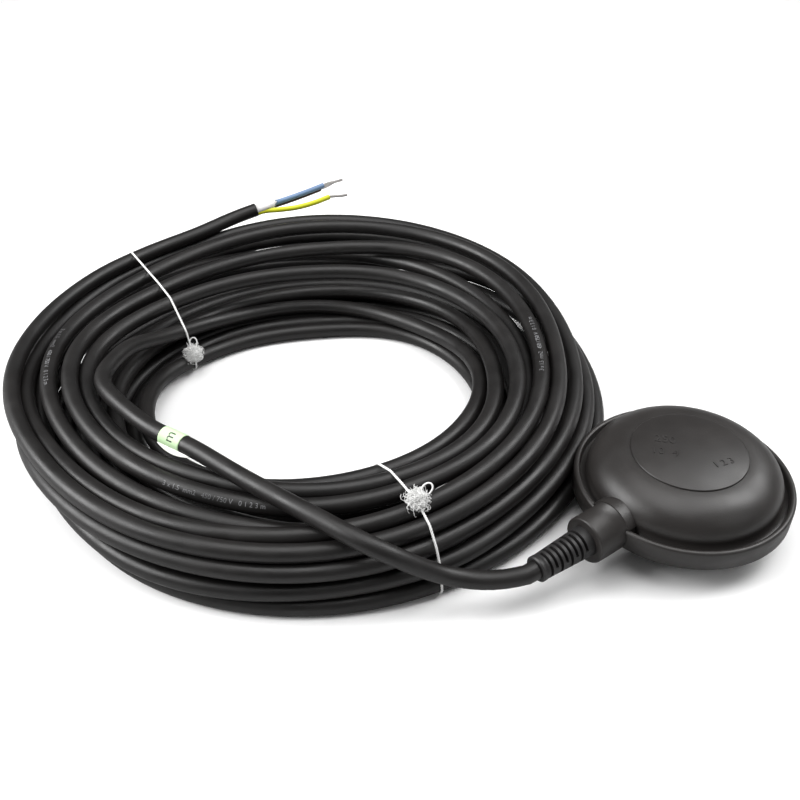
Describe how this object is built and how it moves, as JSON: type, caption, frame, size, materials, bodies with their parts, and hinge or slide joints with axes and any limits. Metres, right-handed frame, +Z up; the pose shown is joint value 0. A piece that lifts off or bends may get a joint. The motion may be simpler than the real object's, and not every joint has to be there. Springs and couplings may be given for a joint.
{
  "type": "cable float switch",
  "caption": "Flat round plastic float with a ribbed strain relief and a long coiled black rubber cable, holding a ball-operated switch for pumps and tanks.",
  "frame": {"origin": "centre of the round resting pad under the float", "axes": "+Z up along the float's axis, -X the way that the cable leaves the float, +Y towards the coil"},
  "size_m": [0.315, 0.4021, 0.0562],
  "materials": {
    "float_shell": "dark charcoal moulded plastic, satin, slightly brownish",
    "socket_plastic": "dark charcoal moulded plastic, satin",
    "boot_rubber": "black rubber, matt",
    "seal_rubber": "black seal rubber",
    "cable_jacket": "black rubber jacket with a soft sheen and a little grey dust",
    "pale_nylon": "natural nylon",
    "steel_parts": "zinc-plated or stainless steel",
    "brass_parts": "bright brass",
    "switch_case": "black thermoset",
    "switch_lid": "dark red-brown thermoset",
    "plunger_red": "red plastic",
    "core_blue": "grey-blue insulation",
    "core_brown": "brown insulation",
    "core_yellow_green": "yellow insulation with a green stripe",
    "bare_strands": "tinned copper strands, dull grey",
    "paper_wrap": "white paper wrap",
    "label_paper": "pale green paper label",
    "string": "white twisted string"
  },
  "bodies": {
    "float_body": {"lower_shell": "float_shell", "upper_shell": "float_shell", "shell_seal": "seal_rubber", "cable_socket": "socket_plastic", "cable_boot": "boot_rubber", "cable_grommet": "seal_rubber", "thrust_washer": "steel_parts", "gland_nut": "brass_parts", "cable_end": "cable_jacket", "cable_clamp": "pale_nylon", "clamp_screws": "steel_parts", "switch_tray": "pale_nylon", "switch_cover": "pale_nylon", "chamber_screws": "steel_parts", "microswitch_case": "switch_case", "microswitch_lid": "switch_lid", "switch_screws": "steel_parts", "terminal_common": "brass_parts", "terminal_open": "brass_parts", "terminal_closed": "brass_parts", "contact_blade": "brass_parts", "crimp_connectors": "brass_parts", "lever_pin": "steel_parts", "wire_blue_inside": "core_blue", "wire_brown_inside": "core_brown", "wire_earth_inside": "core_yellow_green", "cable_lead": "cable_jacket", "cable_coil": "cable_jacket", "cable_tail": "cable_jacket", "inner_wrap": "paper_wrap", "core_blue": "core_blue", "core_brown": "core_brown", "core_earth": "core_yellow_green", "strands_blue": "bare_strands", "strands_brown": "bare_strands", "strands_earth": "bare_strands", "length_label": "label_paper", "tie_back": "string", "tie_front": "string"},
    "ball": {"steel_ball": "steel_parts"},
    "lever": {"switch_lever": "steel_parts"},
    "plunger": {"switch_plunger": "plunger_red"}
  },
  "joints": [
    {"name": "ball_roll", "type": "slide", "parent": "float_body", "child": "ball", "axis": [-1, 0, 0], "range_m": [0, 0.021]},
    {"name": "lever_pivot", "type": "hinge", "parent": "float_body", "child": "lever", "pos_m": [-0.0035, 0, 0.0114], "axis": [0, -1, 0], "range_deg": [0, 8.1]},
    {"name": "plunger_slide", "type": "slide", "parent": "float_body", "child": "plunger", "axis": [-1, 0, 0], "range_m": [0, 0.0008]}
  ],
  "couplings": [
    {"joint": "lever_pivot", "follows": "ball_roll", "rad_per_m": 6.73},
    {"joint": "plunger_slide", "follows": "ball_roll", "ratio": 0.03809}
  ]
}
